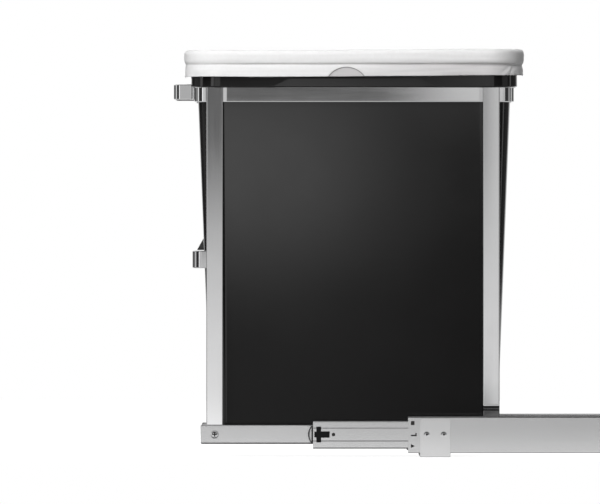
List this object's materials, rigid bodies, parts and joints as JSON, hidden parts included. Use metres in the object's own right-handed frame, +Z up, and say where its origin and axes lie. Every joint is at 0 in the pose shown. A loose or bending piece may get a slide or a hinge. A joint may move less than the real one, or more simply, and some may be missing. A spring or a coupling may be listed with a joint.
{
  "type": "pull-out waste bin",
  "caption": "Pull-out cabinet waste bin: tapered black bucket with a white bag liner, hung by its rim in a bright steel bar frame on telescopic ball slides with floor brackets.",
  "frame": {"origin": "centre of the four floor screw holes, on the cabinet floor, which is also the middle of the outer rails' length", "axes": "+X to the back of the cabinet, so the bin is drawn out along -X; +Y to the left of someone who draws it out; +Z up"},
  "size_m": [0.6815, 0.2968, 0.4887],
  "materials": {
    "polished_bar": "polished",
    "rail_steel": "zinc plated, satin",
    "bracket_steel": "zinc plated, satin",
    "cage_steel": "plain strip",
    "ball_steel": "polished",
    "fastener_steel": "bright plated",
    "bucket_plastic": "fine moulded grain, satin black",
    "stop_plastic": "satin black",
    "liner_film": "soft white film"
  },
  "bodies": {
    "base": {"outer_rail_left": "rail_steel", "outer_rail_right": "rail_steel", "front_floor_bracket": "bracket_steel", "rear_floor_bracket": "bracket_steel", "bracket_rivets": "fastener_steel", "rear_bumper_left": "stop_plastic", "rear_bumper_right": "stop_plastic"},
    "carriage": {"inner_rail_left": "rail_steel", "inner_rail_right": "rail_steel", "front_leg_frame": "polished_bar", "rear_leg_frame": "polished_bar", "top_hoop": "polished_bar", "front_handle": "polished_bar", "lower_front_band": "polished_bar", "rail_screws": "fastener_steel"},
    "bucket": {"bucket": "bucket_plastic", "liner_bag": "liner_film"},
    "middle_left": {"middle_rail_left": "rail_steel", "stop_clip_left": "stop_plastic"},
    "outer_cage_left": {"outer_ball_cage_left": "cage_steel", "outer_balls_left": "ball_steel"},
    "inner_cage_left": {"inner_ball_cage_left": "cage_steel", "inner_balls_left": "ball_steel"},
    "middle_right": {"middle_rail_right": "rail_steel", "stop_clip_right": "stop_plastic"},
    "outer_cage_right": {"outer_ball_cage_right": "cage_steel", "outer_balls_right": "ball_steel"},
    "inner_cage_right": {"inner_ball_cage_right": "cage_steel", "inner_balls_right": "ball_steel"}
  },
  "joints": [
    {"name": "carriage_slide", "type": "slide", "parent": "base", "child": "carriage", "axis": [-1, 0, 0], "range_m": [-0.249, 0.151]},
    {"name": "bucket_lift", "type": "slide", "parent": "carriage", "child": "bucket", "axis": [0, 0, 1], "range_m": [0, 0.45]},
    {"name": "middle_left_slide", "type": "slide", "parent": "base", "child": "middle_left", "axis": [-1, 0, 0], "range_m": [-0.1142, 0.06933]},
    {"name": "outer_cage_left_slide", "type": "slide", "parent": "base", "child": "outer_cage_left", "axis": [-1, 0, 0], "range_m": [-0.0572, 0.03477]},
    {"name": "inner_cage_left_slide", "type": "slide", "parent": "base", "child": "inner_cage_left", "axis": [-1, 0, 0], "range_m": [-0.1817, 0.11027]},
    {"name": "middle_right_slide", "type": "slide", "parent": "base", "child": "middle_right", "axis": [-1, 0, 0], "range_m": [-0.1142, 0.06933]},
    {"name": "outer_cage_right_slide", "type": "slide", "parent": "base", "child": "outer_cage_right", "axis": [-1, 0, 0], "range_m": [-0.0572, 0.03477]},
    {"name": "inner_cage_right_slide", "type": "slide", "parent": "base", "child": "inner_cage_right", "axis": [-1, 0, 0], "range_m": [-0.1817, 0.11027]}
  ],
  "couplings": [
    {"joint": "middle_left_slide", "follows": "carriage_slide", "ratio": 0.45783},
    {"joint": "outer_cage_left_slide", "follows": "carriage_slide", "ratio": 0.22892},
    {"joint": "inner_cage_left_slide", "follows": "carriage_slide", "ratio": 0.72892},
    {"joint": "middle_right_slide", "follows": "carriage_slide", "ratio": 0.45783},
    {"joint": "outer_cage_right_slide", "follows": "carriage_slide", "ratio": 0.22892},
    {"joint": "inner_cage_right_slide", "follows": "carriage_slide", "ratio": 0.72892}
  ]
}
